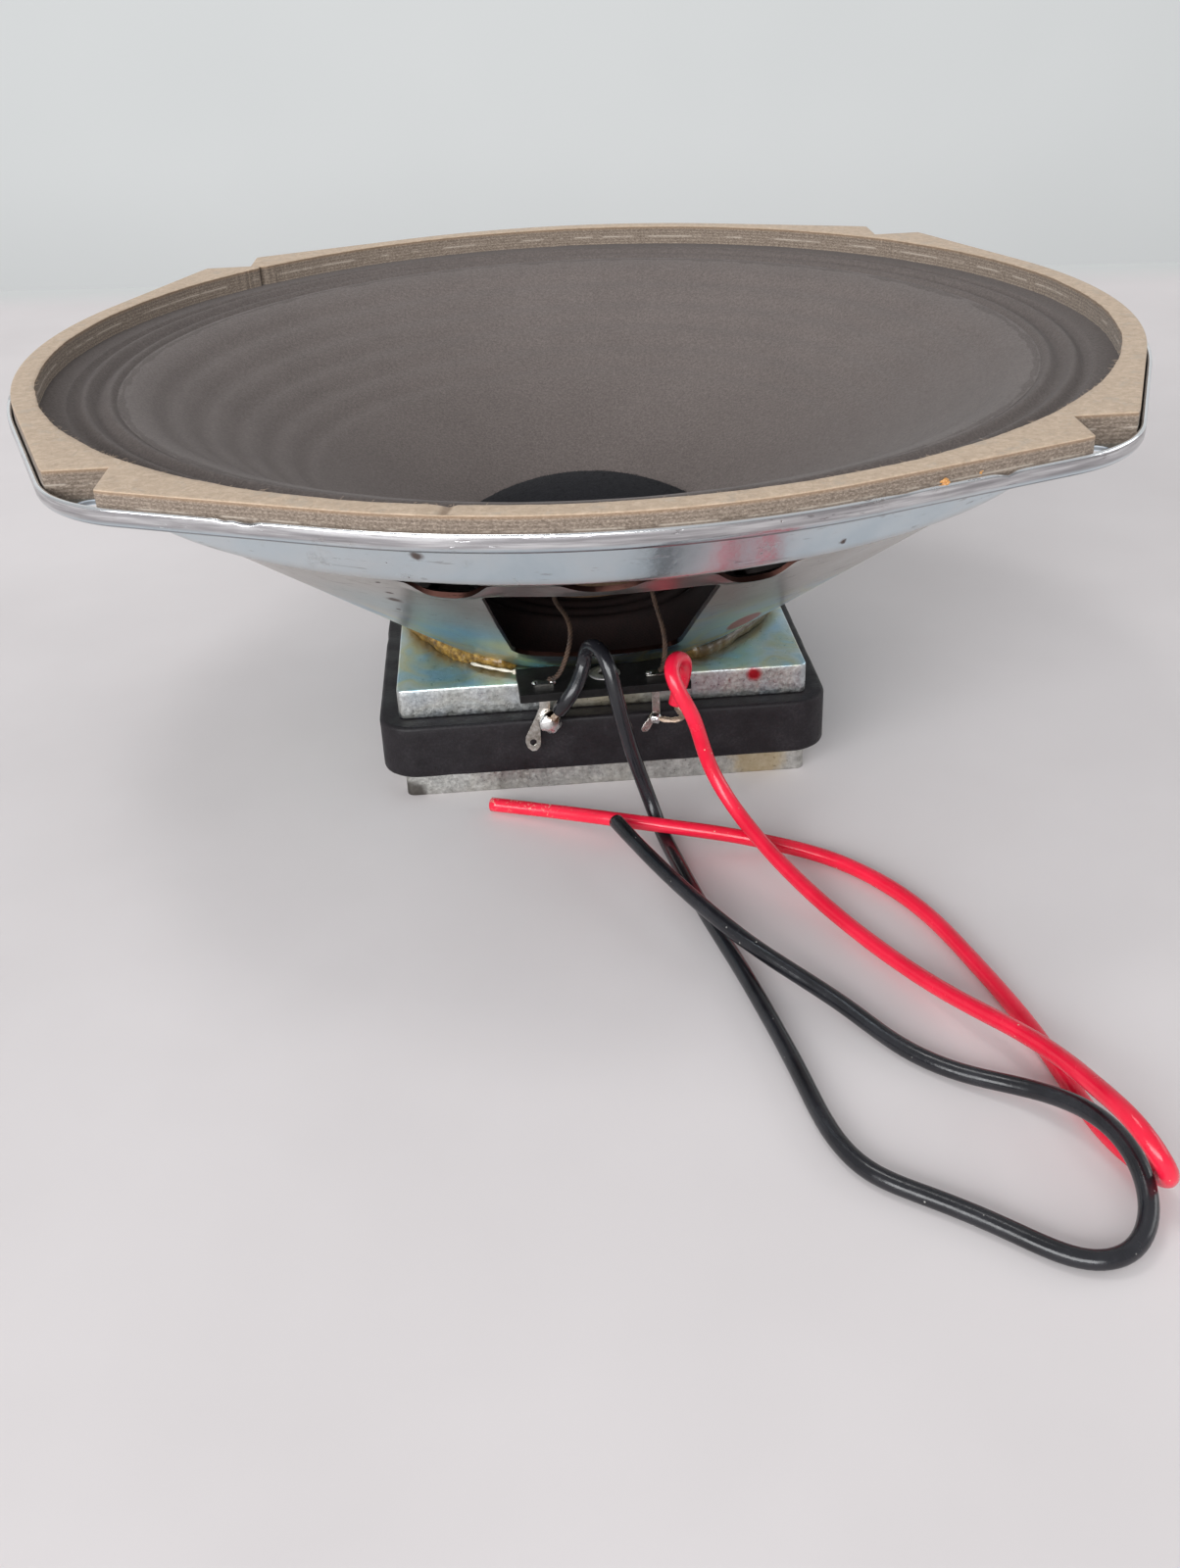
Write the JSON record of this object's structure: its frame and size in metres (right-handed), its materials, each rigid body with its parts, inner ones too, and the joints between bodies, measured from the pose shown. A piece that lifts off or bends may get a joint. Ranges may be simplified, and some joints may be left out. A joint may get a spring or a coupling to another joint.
{
  "type": "loudspeaker driver",
  "caption": "Round loudspeaker driver with a ridged paper cone in a pressed steel basket with ear lugs, a square ferrite magnet and two loose connecting wires.",
  "frame": {"origin": "on the rear face of the back plate, on the speaker's own axis, so the part stands on its back plate with the cone up", "axes": "+Z along the cone's axis towards the listener, +X to the right and -Y towards the tag board and the wires"},
  "size_m": [0.203, 0.2637, 0.0764],
  "materials": {
    "zinc_steel": "thin bright zinc plating on pressed steel, dulled and spotted with age",
    "plated_steel": "bright plated mild steel plate with a milled front edge",
    "fibre_board": "tan laminated fibre board with a brown cut edge",
    "ferrite": "dark grey sintered ferrite, ground, slightly rough",
    "amber_glue": "amber glue bead with grains in it",
    "treated_cloth": "resin-treated woven cloth, corrugated",
    "former_paper": "brown paper tube",
    "copper_winding": "lacquered copper wire, close wound",
    "cone_paper": "felted dark grey paper pulp with fine fibres",
    "edge_paper": "the cone's own paper, corrugated and doped",
    "black_felt": "soft black felt",
    "lead_cement": "brown cement",
    "phenolic_board": "black phenolic paper board with sawn edges",
    "rivet_tin": "tinned hollow rivet, a little dull",
    "tag_tin": "bright tinned strip with flux marks",
    "solder": "bright solder blob with brown flux",
    "tinsel_braid": "brown twisted tinsel cord",
    "black_pvc": "black flexible insulation, slightly scuffed",
    "red_pvc": "glossy red flexible insulation, worn near the cut end",
    "bare_strands": "tinned copper strands, twisted"
  },
  "bodies": {
    "frame": {"basket": "zinc_steel", "gasket": "fibre_board", "top_plate": "plated_steel", "magnet": "ferrite", "back_plate": "plated_steel", "pole_piece": "plated_steel", "glue_bead": "amber_glue", "spider": "treated_cloth", "cone_edge": "edge_paper", "tag_board": "phenolic_board", "tag_rivet": "rivet_tin", "left_tag": "tag_tin", "right_tag": "tag_tin", "left_solder": "solder", "right_solder": "solder", "left_tinsel_lead": "tinsel_braid", "right_tinsel_lead": "tinsel_braid", "black_wire": "black_pvc", "red_wire": "red_pvc", "black_wire_strands": "bare_strands", "red_wire_strands": "bare_strands"},
    "cone": {"cone": "cone_paper", "coil_former": "former_paper", "voice_coil": "copper_winding", "dust_cap": "black_felt", "left_lead_joint": "lead_cement", "right_lead_joint": "lead_cement"}
  },
  "joints": [
    {"name": "cone_travel", "type": "slide", "parent": "frame", "child": "cone", "axis": [0, 0, 1], "range_m": [-0.0025, 0.0025], "stiffness_N_per_m": 1700, "deforming": ["cone_edge", "spider", "left_tinsel_lead", "right_tinsel_lead"]}
  ]
}
